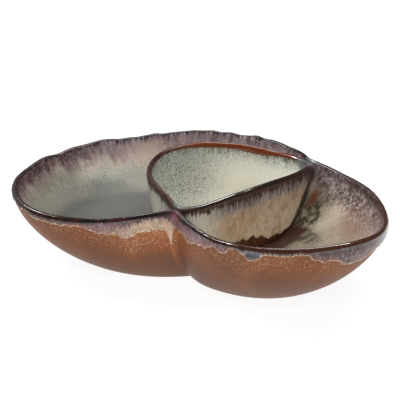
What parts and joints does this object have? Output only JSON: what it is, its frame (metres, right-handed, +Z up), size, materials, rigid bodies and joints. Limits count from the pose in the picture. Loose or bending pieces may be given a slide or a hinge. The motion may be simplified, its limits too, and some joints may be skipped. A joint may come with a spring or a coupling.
{
  "type": "plate with dip bowl",
  "caption": "Two-lobed glazed stoneware serving plate with a half-moon dip bowl that stands between the lobes and lifts out.",
  "frame": {"origin": "middle of the plate's outline, on the plane that its foot stands on", "axes": "+X along the plate's longest reach, from the larger lobe to the smaller, +Z up, +Y away from the front crease"},
  "size_m": [0.3256, 0.231, 0.072],
  "materials": {
    "bare_stoneware": "satin bare clay with fine cream speckles",
    "plate_glaze": "glossy reactive glaze, celadon to cream, maroon and lavender at the rim",
    "dip_bowl_glaze": "glossy reactive glaze, pale celadon with dark speckles, maroon and rust at the rim"
  },
  "bodies": {
    "plate": {"plate_body": "bare_stoneware", "plate_glaze": "plate_glaze"},
    "dip_bowl": {"dip_bowl_body": "bare_stoneware", "dip_bowl_glaze": "dip_bowl_glaze"}
  },
  "joints": [
    {"name": "dip_bowl_lift", "type": "slide", "parent": "plate", "child": "dip_bowl", "axis": [0, 0, 1], "range_m": [0, 0.08]}
  ]
}
